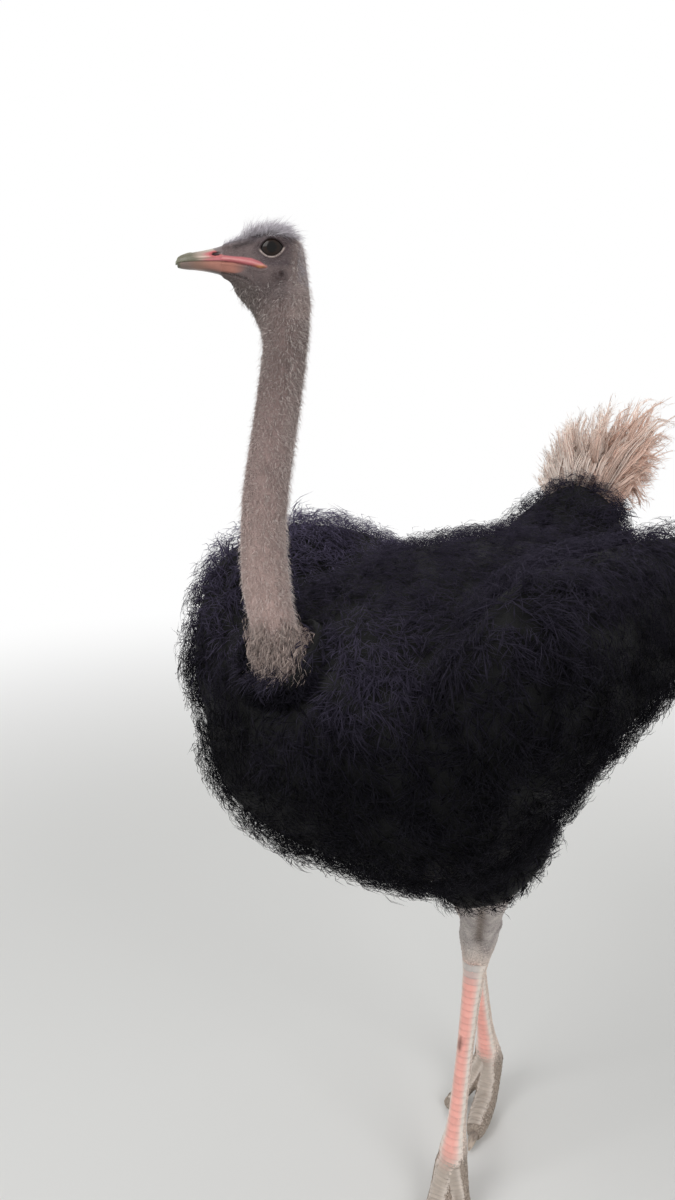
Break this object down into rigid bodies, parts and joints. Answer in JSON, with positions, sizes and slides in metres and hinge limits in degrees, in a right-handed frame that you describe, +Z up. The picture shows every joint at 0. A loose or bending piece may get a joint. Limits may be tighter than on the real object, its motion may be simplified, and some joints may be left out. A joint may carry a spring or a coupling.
{
  "type": "ostrich",
  "caption": "Life-size male ostrich in mid-stride, neck upright and head turned aside, black plumage, short raised pale tail, bare legs with two-toed feet.",
  "frame": {"origin": "centre of the bounding box's base, on the ground that the bird stands on", "axes": "+Z up, -Y the way the bird faces, +X its left side"},
  "size_m": [1.0598, 1.4116, 2.0702],
  "materials": {
    "plumage": "black body feathers, soft and loose, matte with a faint violet sheen",
    "down": "greyish pink skin under fine pale down, matte",
    "horn": "bill horn, satin",
    "eye": "wet dark brown eyeball, gloss",
    "plume": "cream tail plumes, matte",
    "skin": "bare wrinkled grey-beige leg and toe skin, matte",
    "scutes": "pink horny plates on the front of the long foot bone, satin",
    "claw": "claw horn, satin"
  },
  "bodies": {
    "root": {"head": "down", "bill_upper": "horn", "bill_lower": "horn", "eye_left": "eye", "eye_right": "eye", "neck_upper": "down", "neck_middle": "down", "neck_lower": "down", "trunk": "plumage", "wing_left": "plumage", "wing_right": "plumage", "tail": "plume", "shank_left": "skin", "shank_right": "skin", "tarsus_left": "scutes", "tarsus_right": "scutes", "toe_inner_left": "skin", "toe_inner_right": "skin", "toe_outer_left": "skin", "toe_outer_right": "skin", "claw_left": "claw", "claw_right": "claw"}
  },
  "joints": []
}
